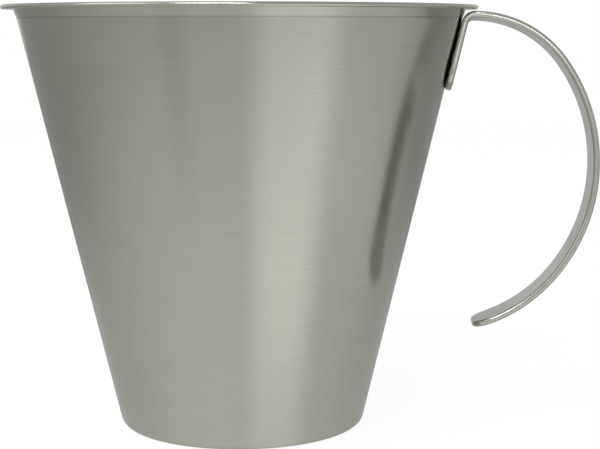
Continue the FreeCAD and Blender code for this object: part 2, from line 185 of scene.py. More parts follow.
class StageSettings(PropertyGroup):
    """Camera and floor, and how bright the steel sees the floor and the room."""

    camera_distance: length("Camera distance", 474.1, "Jug's axis to the lens, measured level")
    camera_height: length("Camera height", 127.4, "Lens above the standing plane")
    handle_bearing: angle("Handle bearing", 8.0, "How far the handle is turned towards the lens")
    yaw: angle("Yaw", 2.275, "Lens turned towards the handle, off the jug's axis")
    pitch: angle("Pitch", 7.597, "Lens turned down")
    roll: angle("Roll", 0.0, "Lens rolled")
    focal_length: FloatProperty(name="Focal length", description="For a 36 mm wide sensor",
                                default=88.56, subtype="DISTANCE_CAMERA")
    floor: colour("Floor", (0.8, 0.8, 0.79), "Plain pale floor")
    floor_reach: length("Floor reach", 1500.0, "Jug's axis to the floor's sides")
    # From here to Front spread: painted light on the floor, seen only by the steel, with a painted shadow
    # under the foot, painted shade behind the jug, painted pools of light and a painted strip of shade.
    foot_glow: share("Foot glow", 0.1, "How much of its brightness the floor keeps under the foot")
    near_glow: share("Near glow", 0.69, "Brightness of the floor in the steel, at the foot")
    far_glow: share("Far glow", 0.39, "Brightness of the floor in the steel, far from the foot")
    pool_glow: share("Pool glow", 0.31, "What the pool of light adds to it")
    pool_spread: angle("Pool spread", 33.0, "Half of the pool's angle")
    pool_bearing: angle("Pool bearing", 30.0, "Pool of light, from the lens towards the handle")
    side_glow: share("Side glow", 0.17, "What a wide faint pool beside it adds, far from the foot")
    side_bearing: angle("Side bearing", 75.0, "The wide faint pool, from the lens towards the handle")
    side_spread: angle("Side spread", 50.0, "Half of the wide faint pool's angle")
    shade_bearing: angle("Shade bearing", 37.0, "A faint dark strip, from the lens away from the handle")
    shade_spread: angle("Shade spread", 9.0, "Half of the dark strip's angle")
    shade_depth: share("Shade depth", 0.09, "What the dark strip takes away")
    back_pool: share("Back pool glow", 0.25, "What a pool of light behind the jug adds")
    back_pool_spread: angle("Back pool spread", 22.0, "Half of that pool's angle")
    back_glow: share("Back glow", 0.64, "How much of its brightness the floor keeps behind the jug")
    front_spread: angle("Front spread", 145.0, "Half of the angle in which it is brighter than that")
    room_light: share("Room light", 0.6, "Brightness of the room as a light")
    room_glow: share("Room glow", 0.56, "Brightness of the room in the steel, low down")
    overhead_glow: share("Overhead glow", 0.42, "Brightness of the room in the steel, overhead")


SETTINGS = {
    "jug_vessel": VesselSizes,
    "jug_marks": MarkSizes,
    "jug_handle": HandleSizes,
    "jug_finish": SteelFinish,
    "jug_stage": StageSettings,
}


# Geometry of the section and of the strip's path, worked out from the sizes


class Section:
    """Heights and radii that the vessel, the marks and the handle share."""

    def __init__(self, sizes):
        self.slope = (sizes.mouth_radius - sizes.foot_radius) / sizes.height
        self.lean = math.atan(self.slope)
        self.crease_height = sizes.height - sizes.neck_height
        self.crease_radius = self.wall(sizes, self.crease_height)
        self.neck_top = self.crease_radius + sizes.neck_height * math.tan(sizes.neck_angle)
        self.hem = 2 * sizes.sheet + sizes.hem_gap
        self.rim_radius = self.neck_top + sizes.rim_width
        self.across = sizes.sheet / math.cos(self.lean)

    def wall(self, sizes, height):
        """Outside radius of the wall at a height."""
        return sizes.foot_radius + height * self.slope

    def inside(self, sizes, height):
        return self.wall(sizes, height) - self.across


def parallel(corners, gap):
    """The open line through (radius, height, bend) corners, moved to its left by gap.

    The bends keep their centres.
    """
    spots = [Vector(corner[:2]) for corner in corners]
    runs = [(end - start).normalized() for start, end in zip(spots, spots[1:])]
    moved = []
    for index, (spot, corner) in enumerate(zip(spots, corners)):
        before, after = runs[max(index - 1, 0)], runs[min(index, len(runs) - 1)]
        left = Vector((-before.y - after.y, before.x + after.x)).normalized()
        mitre = gap / (left.dot(Vector((-before.y, before.x))))
        turns_left = before.x * after.y - before.y * after.x > 0
        bend = corner[2] + (-gap if turns_left else gap) if corner[2] else 0.0
        place = spot + left * mitre
        moved.append((place.x, place.y, bend))
    return moved


def rounded(corners):
    """A list of points for each corner of a closed line: the corner itself, or the arc that rounds it."""
    groups = []
    for index, (across, up, bend) in enumerate(corners):
        spot = Vector((across, up))
        before = Vector(corners[index - 1][:2])
        after = Vector(corners[(index + 1) % len(corners)][:2])
        arriving, leaving = (spot - before).normalized(), (after - spot).normalized()
        turn = math.atan2(arriving.x * leaving.y - arriving.y * leaving.x, arriving.dot(leaving))
        if not bend:
            groups.append([spot])
            continue
        start = spot - arriving * bend * math.tan(abs(turn) / 2)
        side = Vector((-arriving.y, arriving.x)) * math.copysign(bend, turn)
        centre = start + side
        count = max(2, math.ceil(abs(turn) / BEND_STEP))
        groups.append([centre + Matrix.Rotation(turn * number / count, 2) @ -side
                       for number in range(count + 1)])
    return groups


def litre_mark_height(sizes, section, millilitres):
    """Height of a liquid's surface: a cut cone's volume, less what the raised panel takes up."""
    floor_radius = section.inside(sizes, sizes.sheet)
    panel_radius = sizes.foot_radius - sizes.panel_inset + sizes.panel_rise / 2
    volume = millilitres * MILLILITRE + math.pi * panel_radius ** 2 * sizes.panel_rise
    surface = (floor_radius ** 3 + 3 * section.slope / math.pi * volume) ** (1 / 3)
    return sizes.sheet + (surface - floor_radius) / section.slope


def vessel_profile(sizes, marks):
    """Rows (radius, height, depth, reach) round the sheet's section, from the middle of its underside.

    The last two say how deep and how far round a measuring line is cut at that point.
    """
    section = Section(sizes)
    height, sheet = sizes.height, sizes.sheet
    panel = sizes.foot_radius - sizes.panel_inset
    neck = math.tan(sizes.neck_angle)
    under = [
        (0.0, sizes.panel_rise, 0.0),
        (panel, sizes.panel_rise, sizes.panel_bend),
        (panel + sizes.panel_rise, 0.0, sizes.panel_bend),
        (sizes.foot_radius, 0.0, sizes.foot_bend),
        (section.crease_radius, section.crease_height, sizes.crease_bend),
        (section.neck_top, height, 0.0),
    ]
    over = parallel(under, sheet)[:-1]
    nose = section.rim_radius - section.hem / 2
    edge = section.neck_top + sizes.hem_clearance
    rim = [
        (section.neck_top - sheet * neck, height - sheet, sizes.neck_bend),
        (nose, height - sheet, 0.0),
        (nose, height - sheet - sizes.hem_gap, 0.0),
        (edge, height - sheet - sizes.hem_gap, 0.0),
        (edge, height - section.hem, sizes.folded_edge),
        (section.rim_radius, height - section.hem, section.hem / 2),
        (section.rim_radius, height, section.hem / 2),
        (section.neck_top - sheet / math.cos(sizes.neck_angle), height, sizes.neck_bend + sheet),
    ]
    groups = rounded(under[:-1] + rim + over[::-1])
    wall_starts = len(under) - 1 + len(rim)
    rows = []
    for index, group in enumerate(groups):
        rows += [(point.x, point.y, 0.0, 0.0) for point in group]
        if index == wall_starts:
            rows += mark_rows(sizes, marks, section)
    return rows


def mark_rows(sizes, marks, section):
    """Rows of the inner wall from the top line down to the lowest, four for each line."""
    rows = []
    for number in reversed(range(marks.count)):
        millilitres = marks.first + number * marks.step
        middle = litre_mark_height(sizes, section, millilitres)
        arc = marks.long_arc if millilitres % marks.long_step == 0 else marks.short_arc
        half = marks.height / 2
        for up, depth in ((half + marks.flank, 0.0), (half, marks.depth),
                          (-half, marks.depth), (-half - marks.flank, 0.0)):
            rows.append((section.inside(sizes, middle + up), middle + up, depth, arc / 2))
    return rows


def strip_path(handle, section):
    """Middle line of the strip in its own plane, from the foot of the tang to the free end."""
    points = [Vector((handle.thickness / 2, 0.0))]
    heading = math.pi / 2

    def run(distance):
        points.append(points[-1] + Vector((math.cos(heading), math.sin(heading))) * distance)

    run(handle.tang_length)
    for radius, turn in (
        (handle.bend_radius + handle.thickness / 2, math.pi / 2 - section.lean),
        (handle.crown_radius, handle.crown_angle),
        (handle.grip_radius, handle.grip_angle),
        (handle.tail_radius, handle.tail_angle),
    ):
        centre = points[-1] + Vector((math.sin(heading), -math.cos(heading))) * radius
        count = math.ceil(PATH_STEPS_PER_DEGREE * math.degrees(turn))
        for _ in range(count):
            heading -= turn / count
            points.append(centre - Vector((math.sin(heading), -math.cos(heading))) * radius)
    run(handle.tail_length)
    return points


def weld_places(sizes, handle):
    """Middles of the two spot welds."""
    tang = tang_frame(sizes, handle, Section(sizes))
    heights = [(handle.tang_length + side * handle.weld_pitch) / 2 for side in (-1, 1)]
    return [tang @ Vector((0.0, 0.0, height)) for height in heights]


def tang_frame(sizes, handle, section):
    """Matrix of the strip's own frame: X out of the wall, Z up it, turned by the tilt about the welds."""
    strip_bend = handle.bend_radius + handle.thickness / 2
    tilt_rise = handle.width / 2 * math.sin(handle.tilt)
    crown_top = sizes.height - section.hem - handle.clearance - tilt_rise
    bend_drop = strip_bend + handle.thickness / 2 - math.sin(section.lean) * (
        handle.weld_gap + handle.thickness / 2 + strip_bend)
    foot = crown_top - bend_drop - handle.tang_length * math.cos(section.lean)
    middle = handle.tang_length / 2
    return (
        Matrix.Translation((section.wall(sizes, foot), 0.0, foot))
        @ Matrix.Rotation(section.lean, 4, "Y")
        @ Matrix.Translation((handle.weld_gap, 0.0, middle))
        @ Matrix.Rotation(-handle.tilt, 4, "X")
        @ Matrix.Translation((0.0, 0.0, -middle))
    )


# Making meshes


def new_mesh_object(name, points, edges=(), faces=()):
    mesh = bpy.data.meshes.new(name)
    mesh.from_pydata(points, edges, faces)
    piece = bpy.data.objects.new(name, mesh)
    bpy.context.scene.collection.objects.link(piece)
    return piece


def face_outwards(mesh):
    """Merge doubles, turn every face outwards and make sure that the mesh is closed."""
    work = bmesh.new()
    work.from_mesh(mesh)
    bmesh.ops.remove_doubles(work, verts=work.verts, dist=SAME_PLACE)
    bmesh.ops.recalc_face_normals(work, faces=work.faces)
    open_edges = sum(1 for edge in work.edges if len(edge.link_faces) != 2)
    work.to_mesh(mesh)
    work.free()
    if open_edges:
        raise RuntimeError(f"{mesh.name} has {open_edges} open or crowded edges")


def add_tree(name, sockets):
    """Empty Geometry Nodes tree with a geometry in and out and named inputs."""
    tree = bpy.data.node_groups.new(name, "GeometryNodeTree")
    tree.interface.new_socket("Geometry", in_out="INPUT", socket_type="NodeSocketGeometry")
    for label, kind in sockets:
        tree.interface.new_socket(label, in_out="INPUT", socket_type=kind)
    tree.interface.new_socket("Geometry", in_out="OUTPUT", socket_type="NodeSocketGeometry")
    return tree


class Wiring:
    """Short words for building a node tree."""

    def __init__(self, tree):
        self.tree = tree

    def add(self, kind, inputs=None, **settings):
        node = self.tree.nodes.new(kind)
        for name, value in settings.items():
            setattr(node, name, value)
        for key, value in (inputs or {}).items():
            self.feed(node.inputs[key], value)
        return node

    def feed(self, socket, value):
        if isinstance(value, bpy.types.NodeSocket):
            self.tree.links.new(value, socket)
        else:
            socket.default_value = value

    def math(self, operation, first, second=0.0, third=0.0):
        kind = "ShaderNodeMath"
        return self.add(kind, {0: first, 1: second, 2: third}, operation=operation).outputs[0]

    def vector(self, operation, first, second=(0.0, 0.0, 0.0)):
        node = self.add("ShaderNodeVectorMath", {0: first, 1: second}, operation=operation)
        return node.outputs["Value" if operation in ("DOT_PRODUCT", "LENGTH") else "Vector"]

    def scale(self, vector, factor):
        node = self.add("ShaderNodeVectorMath", {0: vector, "Scale": factor}, operation="SCALE")
        return node.outputs["Vector"]

    def length(self, vector):
        return self.vector("LENGTH", vector)

    def parts(self, vector):
        return self.add("ShaderNodeSeparateXYZ", {0: vector}).outputs

    def join(self, across, deep, up):
        return self.add("ShaderNodeCombineXYZ", {"X": across, "Y": deep, "Z": up}).outputs[0]

    def fade(self, value, start, end, first=0.0, last=1.0):
        """A smooth step from first to last while value goes from start to end."""
        node = self.add("ShaderNodeMapRange", {0: value, 1: start, 2: end, 3: first, 4: last},
                        interpolation_type="SMOOTHSTEP")
        return node.outputs[0]

    def noise(self, vector, detail=2.0, roughness=0.5):
        return self.add("ShaderNodeTexNoise", {
            "Vector": vector, "Scale": 1.0, "Detail": detail, "Roughness": roughness}).outputs[0]

    def mix(self, amount, first, second):
        return self.add("ShaderNodeMix", {0: amount, 6: first, 7: second}, data_type="RGBA").outputs[2]

    def bump(self, height, distance, under=None):
        node = self.add("ShaderNodeBump", {"Height": height, "Distance": distance, "Strength": 1.0})
        if under:
            self.feed(node.inputs["Normal"], under)
        return node.outputs[0]

    def group(self, tree, inputs):
        return self.add("ShaderNodeGroup", node_tree=tree, inputs=inputs).outputs


def run_tree(piece, tree, inputs):
    """Run a tree on a piece with these inputs, and keep the result as its plain mesh."""
    modifier = piece.modifiers.new(tree.name, "NODES")
    modifier.node_group = tree
    identifiers = {item.name: item.identifier for item in tree.interface.items_tree
                   if item.item_type == "SOCKET" and item.in_out == "INPUT"}
    for name, value in inputs.items():
        modifier[identifiers[name]] = value
    evaluated = piece.evaluated_get(bpy.context.evaluated_depsgraph_get())
    mesh = bpy.data.meshes.new_from_object(evaluated)
    piece.modifiers.remove(modifier)
    old = piece.data
    piece.data = mesh
    bpy.data.meshes.remove(old)
    mesh.name = piece.name


def turned_sheet_tree():
    """Turns a profile about Z. Each point's mark_depth and mark_reach cut a line about +Y."""
    tree = add_tree("Turned sheet", (
        ("Rows", "NodeSocketInt"), ("Columns", "NodeSocketInt"), ("Sharp above", "NodeSocketFloat"),
        ("Material", "NodeSocketMaterial")))
    w = Wiring(tree)
    given = w.add("NodeGroupInput").outputs
    across = w.math("ADD", given["Columns"], 1.0)
    grid = w.add("GeometryNodeMeshGrid", {"Vertices X": given["Rows"], "Vertices Y": across})
    index = w.add("GeometryNodeInputIndex").outputs[0]
    row = w.math("FLOOR", w.math("DIVIDE", w.math("ADD", index, 0.5), across))
    column = w.math("SUBTRACT", index, w.math("MULTIPLY", row, across))
    turn = w.math("MULTIPLY", w.math("DIVIDE", column, given["Columns"]), 2 * math.pi)

    def of_row(kind, source):
        sample = w.add("GeometryNodeSampleIndex", data_type=kind, domain="POINT")
        w.feed(sample.inputs["Geometry"], given["Geometry"])
        w.feed(sample.inputs["Value"], source)
        w.feed(sample.inputs["Index"], row)
        return sample.outputs[0]

    def named(name):
        node = w.add("GeometryNodeInputNamedAttribute", {"Name": name}, data_type="FLOAT")
        return node.outputs["Attribute"]

    place = of_row("FLOAT_VECTOR", w.add("GeometryNodeInputPosition").outputs[0])
    parts = w.parts(place)
    from_y = w.math("ABSOLUTE", w.math("SUBTRACT", turn, math.pi / 2))
    rounding = 1e-4
    cut = w.math("LESS_THAN", from_y, w.math("ADD", of_row("FLOAT", named("mark_reach")), rounding))
    depth = w.math("MULTIPLY", of_row("FLOAT", named("mark_depth")), cut)
    radius = w.math("ADD", parts["X"], depth)
    spot = w.join(w.math("MULTIPLY", radius, w.math("COSINE", turn)),
                  w.math("MULTIPLY", radius, w.math("SINE", turn)), parts["Z"])
    shaped = w.add("GeometryNodeSetPosition", {"Geometry": grid.outputs["Mesh"], "Position": spot})
    stored = w.add("GeometryNodeStoreNamedAttribute", {
        "Geometry": shaped.outputs[0], "Name": "line", "Value": depth},
        data_type="FLOAT", domain="POINT")
    merged = w.add("GeometryNodeMergeByDistance", {
        "Geometry": stored.outputs[0], "Distance": SAME_PLACE})
    smooth_sheet(w, merged.outputs[0], given)
    return tree


def smooth_sheet(w, geometry, given):
    """Last nodes of a tree: smooth faces, sharp edges above an angle, one material."""
    smooth = w.add("GeometryNodeSetShadeSmooth", {
        "Geometry": geometry, "Shade Smooth": True}, domain="FACE")
    bend = w.add("GeometryNodeInputMeshEdgeAngle").outputs["Unsigned Angle"]
    steep = w.add("FunctionNodeCompare", {0: bend, 1: given["Sharp above"]}, operation="GREATER_THAN")
    sharp = w.add("GeometryNodeSetShadeSmooth", {
        "Geometry": smooth.outputs[0], "Selection": steep.outputs[0], "Shade Smooth": False}, domain="EDGE")
    real = w.add("GeometryNodeRealizeInstances", {"Geometry": sharp.outputs[0]})
    painted = w.add("GeometryNodeSetMaterial", {
        "Geometry": real.outputs[0], "Material": given["Material"]})
    out = w.add("NodeGroupOutput")
    w.feed(out.inputs["Geometry"], painted.outputs[0])


def on_the_wall_tree():
    """Lays a flat mesh on the inside of the cone: X goes round it, Y up it and Z towards the axis."""
    tree = add_tree("On the wall", (
        ("Turn", "NodeSocketFloat"), ("Foot radius", "NodeSocketFloat"), ("Lean", "NodeSocketFloat"),
        ("Sink", "NodeSocketFloat"), ("Sharp above", "NodeSocketFloat"),
        ("Material", "NodeSocketMaterial")))
    w = Wiring(tree)
    given = w.add("NodeGroupInput").outputs
    fine = w.add("GeometryNodeSubdivideMesh", {"Mesh": given["Geometry"], "Level": 2}).outputs[0]
    flat = w.parts(w.add("GeometryNodeInputPosition").outputs[0])
    off_wall = w.math("SUBTRACT", flat["Z"], given["Sink"])
    lean_sine, lean_cosine = w.math("SINE", given["Lean"]), w.math("COSINE", given["Lean"])
    wall = w.math("MULTIPLY_ADD", flat["Y"], lean_sine, given["Foot radius"])
    radius = w.math("SUBTRACT", wall, w.math("MULTIPLY", off_wall, lean_cosine))
    up = w.math("MULTIPLY_ADD", off_wall, lean_sine, w.math("MULTIPLY", flat["Y"], lean_cosine))
    turn = w.math("SUBTRACT", given["Turn"], w.math("DIVIDE", flat["X"], wall))
    spot = w.join(w.math("MULTIPLY", radius, w.math("COSINE", turn)),
                  w.math("MULTIPLY", radius, w.math("SINE", turn)), up)
    laid = w.add("GeometryNodeSetPosition", {"Geometry": fine, "Position": spot})
    smooth_sheet(w, laid.outputs[0], given)
    return tree


def flat_numbers(sizes, marks, section):
    """One flat mesh of all the numbers, each at its own line's distance up the wall."""
    work = bmesh.new()
    for number in range(marks.count):
        millilitres = marks.first + number * marks.step
        if millilitres % marks.long_step:
            continue
        text = bpy.data.curves.new("number", "FONT")
        text.body = str(millilitres)
        text.size = marks.number_size
        text.extrude = marks.number_relief / 2
        text.offset = marks.number_stroke / 2
        text.resolution_u = 3
        text.align_y = "CENTER"
        holder = bpy.data.objects.new("number", text)
        bpy.context.scene.collection.objects.link(holder)
        evaluated = holder.evaluated_get(bpy.context.evaluated_depsgraph_get())
        mesh = bpy.data.meshes.new_from_object(evaluated)
        up = litre_mark_height(sizes, section, millilitres) / math.cos(section.lean)
        mesh.transform(Matrix.Translation((0.0, up, 0.0)))
        work.from_mesh(mesh)
        bpy.data.objects.remove(holder)
        bpy.data.curves.remove(text)
        bpy.data.meshes.remove(mesh)
    bmesh.ops.remove_doubles(work, verts=work.verts, dist=SAME_PLACE)
    bmesh.ops.triangulate(work, faces=work.faces)
    numbers = new_mesh_object("numbers", [])
    work.to_mesh(numbers.data)
    work.free()
    return numbers


def bent_strip_tree():
    """Bends a flat blank, lying along X, so that its middle follows a path in the XZ plane."""
    tree = add_tree("Bent strip", (
        ("Path", "NodeSocketObject"), ("Sharp above", "NodeSocketFloat"),
        ("Material", "NodeSocketMaterial")))
    w = Wiring(tree)
    given = w.add("NodeGroupInput").outputs
    flat = w.parts(w.add("GeometryNodeInputPosition").outputs[0])
    path = w.add("GeometryNodeObjectInfo", {"Object": given["Path"]}, transform_space="ORIGINAL")
    sample = w.add("GeometryNodeSampleCurve", mode="LENGTH", use_all_curves=True)
    w.feed(sample.inputs["Curves"], path.outputs["Geometry"])
    w.feed(sample.inputs["Length"], flat["X"])
    along = sample.outputs["Tangent"]
    outward = w.vector("NORMALIZE", w.vector("CROSS_PRODUCT", (0.0, 1.0, 0.0), along))
    outward = w.scale(outward, flat["Z"])
    sideways = w.join(0.0, flat["Y"], 0.0)
    spot = w.vector("ADD", w.vector("ADD", sample.outputs["Position"], outward), sideways)
    bent = w.add("GeometryNodeSetPosition", {"Geometry": given["Geometry"], "Position": spot})
    smooth_sheet(w, bent.outputs[0], given)
    return tree


def flat_blank(handle, total):
    """Points and faces of the strip before it is bent: X along it, Y across it and Z through it.

    Its corners and edges are rounded, and the welding tool's prints are sunk into its upper face.
    """
    half, corner, edge = handle.width / 2, handle.corner, handle.edge
    corner_steps, edge_steps = 8, 6
    across_steps = round(handle.width / handle.grid)
    thick = handle.thickness / 2
    bend_start = handle.tang_length
    bend_end = bend_start + math.pi / 2 * (handle.bend_radius + handle.thickness / 2)
    print_steepness = 5

    stations = []
    place = corner
    while place < total - corner - handle.grid:
        place += handle.grid / 3 if bend_start - handle.grid < place < bend_end else handle.grid
        stations.append(place)
    stations = [corner] + stations[:-1] + [total - corner]

    def ends(inset):
        """(place along, half width) at every station of the outline drawn in by inset."""
        turns = [math.pi / 2 * step / corner_steps for step in range(corner_steps)]
        radius = corner - inset
        arc = [(corner - radius * math.cos(turn), half - corner + radius * math.sin(turn))
               for turn in turns]
        straight = [(station, half - inset) for station in stations]
        return arc + straight + [(total - along, wide) for along, wide in reversed(arc)]

    def print_depth(along, aside):
        depth = 0.0
        for side in (-1, 1):
            middle = handle.tang_length / 2 + side * handle.weld_pitch / 2
            away = math.hypot(along - middle, aside) / (handle.weld_diameter / 2)
            depth = max(depth, handle.print_depth * min(1.0, max(0.0, (1.0 - away) * print_steepness)))
        return depth

    shares = [2 * step / across_steps - 1 for step in range(across_steps + 1)]
    layers = [(0.0, 0.0), (0.0, thick - edge)]
    for step in range(1, edge_steps + 1):
        turn = math.pi / 2 * step / edge_steps
        layers.append((edge * (1 - math.cos(turn)), thick - edge + edge * math.sin(turn)))
    points, faces = [], []

    def outline(inset, up):
        """Indices of a closed loop round the strip, made once for each layer."""
        rows = ends(inset)
        loop = list(rows)
        last, first = rows[-1], rows[0]
        loop += [(last[0], last[1] * part) for part in reversed(shares[1:-1])]
        loop += [(along, -wide) for along, wide in reversed(rows)]
        loop += [(first[0], first[1] * part) for part in shares[1:-1]]
        start = len(points)
        points.extend((along, aside, up) for along, aside in loop)
        return list(range(start, start + len(loop)))

    loops = [outline(inset, up) for inset, up in layers]
    mirrored = [outline(inset, -up) for inset, up in layers[1:]]
    ordered = mirrored[::-1] + loops
    for lower, upper in zip(ordered, ordered[1:]):
        for index in range(len(lower)):
            following = (index + 1) % len(lower)
            faces.append((lower[index], lower[following], upper[following], upper[index]))
    for side in (1, -1):
        rows = ends(layers[-1][0])
        grid = []
        for along, wide in rows:
            line = []
            for part in shares:
                sunk = print_depth(along, wide * part) if side > 0 else 0.0
                line.append(len(points))
                points.append((along, wide * part, side * (layers[-1][1] - sunk)))
            grid.append(line)
        for low, high in zip(grid, grid[1:]):
            for index in range(len(shares) - 1):
                faces.append((low[index], high[index], high[index + 1], low[index + 1]))
    return points, faces


def path_curve(name, points):
    curve = bpy.data.curves.new(name, "CURVE")
    curve.dimensions = "3D"
    spline = curve.splines.new("POLY")
    spline.points.add(len(points) - 1)
    for point, (across, up) in zip(spline.points, points):
        point.co = (across, 0.0, up, 1.0)
    line = bpy.data.objects.new(name, curve)
    bpy.context.scene.collection.objects.link(line)
    return line


# Finishes


def add_shader_group(name, inputs, outputs):
    """Empty shader group with named number or vector inputs and outputs."""
    tree = bpy.data.node_groups.new(name, "ShaderNodeTree")
    for label, kind, value in inputs:
        socket = tree.interface.new_socket(label, in_out="INPUT", socket_type=kind)
        socket.default_value = value
    for label, kind in outputs:
        tree.interface.new_socket(label, in_out="OUTPUT", socket_type=kind)
    w = Wiring(tree)
    return w, w.add("NodeGroupInput").outputs, w.add("NodeGroupOutput").inputs


def empty_nodes(owner):
    """Switch on the nodes of a material or world and clear them."""
    owner.use_nodes = True
    tree = owner.node_tree
    for node in list(tree.nodes):
        tree.nodes.remove(node)
    return Wiring(tree)


def add_material(name):
    material = bpy.data.materials.new(name)
    return material, empty_nodes(material)


def shared_group(name, build):
    """The shader group of this name, built at its first use."""
    return bpy.data.node_groups.get(name) or build(name)


def build_fine_lines(name):
    """Lines that run along X and Y of the given vector and follow each other along Z."""
    w, given, out = add_shader_group(
        name,
        (("Vector", "NodeSocketVector", (0.0, 0.0, 0.0)), ("Run", "NodeSocketFloat", 3.0),
         ("Fineness", "NodeSocketFloat", 2500.0)),
        (("Fine", "NodeSocketFloat"), ("Deep", "NodeSocketFloat")))
    laid = w.vector("MULTIPLY", given["Vector"], w.join(given["Run"], given["Run"], given["Fineness"]))
    w.feed(out["Fine"], w.noise(laid, 3.0, 0.6))
    w.feed(out["Deep"], w.fade(w.noise(w.scale(laid, 0.3), 1.0), 0.6, 0.8))
    return w.tree


def build_handling(name):
    """Cloudy smears of cleaning and hands, and the slow unevenness of worked sheet."""
    w, given, out = add_shader_group(
        name,
        (("Vector", "NodeSocketVector", (0.0, 0.0, 0.0)), ("Size", "NodeSocketFloat", 0.03)),
        (("Smears", "NodeSocketFloat"), ("Unevenness", "NodeSocketFloat")))
    place = w.scale(given["Vector"], w.math("DIVIDE", 1.0, given["Size"]))
    w.feed(out["Smears"], w.fade(w.noise(place, 4.0, 0.6), 0.42, 0.72))
    w.feed(out["Unevenness"], w.noise(w.scale(place, 0.6), 1.0))
    return w.tree


def fine_lines(w, place, run, fineness):
    return w.group(shared_group("fine_lines", build_fine_lines), {
        "Vector": place, "Run": run, "Fineness": fineness})


def handling(w, place, size):
    return w.group(shared_group("handling", build_handling), {"Vector": place, "Size": size})


def finish_material(material, w, values, base, roughness, normal, tangent=None):
    """Join what changes over the surface to a Principled shader that holds the plain values."""
    shader = w.add("ShaderNodeBsdfPrincipled", {
        "Base Color": base, "Roughness": roughness, "Normal": normal, "Metallic": 1.0, **values})
    if tangent:
        w.feed(shader.inputs["Tangent"], tangent)
    w.feed(w.add("ShaderNodeOutputMaterial").inputs["Surface"], shader.outputs[0])
    return material


def shade_of(tone, factor=1.0):
    """A colour with its alpha, made darker by a factor under 1 or lighter by one over 1."""
    return (*(part * factor for part in tone), 1.0)


def spun_steel(finish, sizes, marks, handle):
    """Sheet with the fine lines of spinning, dark measuring lines, a straw tint behind the welds and
    painted shade in the outside crease under the neck.
    """
    material, w = add_material("spun_steel")
    section = Section(sizes)
    place = w.add("ShaderNodeTexCoord").outputs["Object"]
    spot = w.parts(place)
    off_axis = w.math("MAXIMUM", w.length(w.join(spot["X"], spot["Y"], 0.0)), 0.1 * MM)
    round_x, round_y = (w.math("DIVIDE", spot[axis], off_axis) for axis in "XY")
    # The lines follow each other up the wall and, on the level base, out from the axis.
    outward_pace = 1.7
    turned = w.join(round_x, round_y, w.math("MULTIPLY_ADD", off_axis, outward_pace, spot["Z"]))
    lines = fine_lines(w, turned, 3.0, 2500.0)
    handled = handling(w, place, 30 * MM)
    wall = w.math("MULTIPLY_ADD", spot["Z"], section.slope, sizes.foot_radius - section.across / 2)
    inside = w.math("LESS_THAN", off_axis, wall)
    neck = w.fade(spot["Z"], section.crease_height - 0.4 * MM, section.crease_height + 0.2 * MM)

    cut = w.add("ShaderNodeAttribute", attribute_name="line").outputs["Fac"]
    cut = w.fade(cut, 0.3 * marks.depth, 0.6 * marks.depth)
    tint = 0.0
    for weld in weld_places(sizes, handle):
        away = w.length(w.vector("SUBTRACT", place, tuple(weld)))
        near = w.fade(away, handle.weld_diameter / 2, handle.weld_diameter, 1.0, 0.0)
        tint = w.math("MAXIMUM", tint, near)
    tint = w.math("MULTIPLY", w.math("MULTIPLY", tint, inside), 0.5)

    tone = w.mix(w.fade(lines["Fine"], 0.3, 0.7),
                 shade_of(finish.vessel, 0.97), shade_of(finish.vessel, 1.03))
    tone = w.mix(w.math("MULTIPLY", lines["Deep"], 0.12), tone, shade_of(finish.vessel, 0.8))
    tone = w.mix(w.math("MULTIPLY", handled["Smears"], 0.3), tone, shade_of(finish.vessel, 0.92))
    # Painted shade: the outside of the sheet is darkened to half its tone in the narrow crease under the
    # neck.
    crease = w.math("ABSOLUTE", w.math("SUBTRACT", spot["Z"], section.crease_height))
    crease = w.fade(crease, 0.1 * MM, 0.4 * MM, 0.5, 0.0)
    crease = w.math("MULTIPLY", crease, w.math("SUBTRACT", 1.0, inside))
    tone = w.mix(crease, tone, shade_of(finish.vessel, 0.5))
    tone = w.mix(tint, tone, shade_of(finish.heat_tint))
    tone = w.mix(w.math("MULTIPLY", cut, 0.95), tone, shade_of(finish.etched))

    rough = w.math("MULTIPLY_ADD", lines["Fine"], 0.1, finish.vessel_gloss - 0.05)
    rough = w.math("MULTIPLY_ADD", handled["Smears"], 0.04, rough)
    rough = w.math("MULTIPLY_ADD", inside, 0.05, rough)
    rough = w.math("MULTIPLY_ADD", cut, 0.3, rough)

    relief = w.math("MULTIPLY_ADD", lines["Deep"], -0.8, lines["Fine"])
    normal = w.bump(relief, finish.vessel_lines)
    normal = w.bump(handled["Unevenness"], finish.vessel_waves, normal)
    dimples_round, dimples_up = 9.0, 150.0
    dimples = w.noise(w.vector("MULTIPLY", w.join(round_x, round_y, spot["Z"]),
                               (dimples_round, dimples_round, dimples_up)))
    normal = w.bump(w.math("MULTIPLY", dimples, neck), finish.neck_dimples, normal)
    tangent = w.add("ShaderNodeTangent", direction_type="RADIAL", axis="Z").outputs[0]
    values = {"Anisotropic": finish.vessel_brush, "Anisotropic Rotation": ACROSS_THE_LINES}
    return finish_material(material, w, values, tone, rough, normal, tangent)


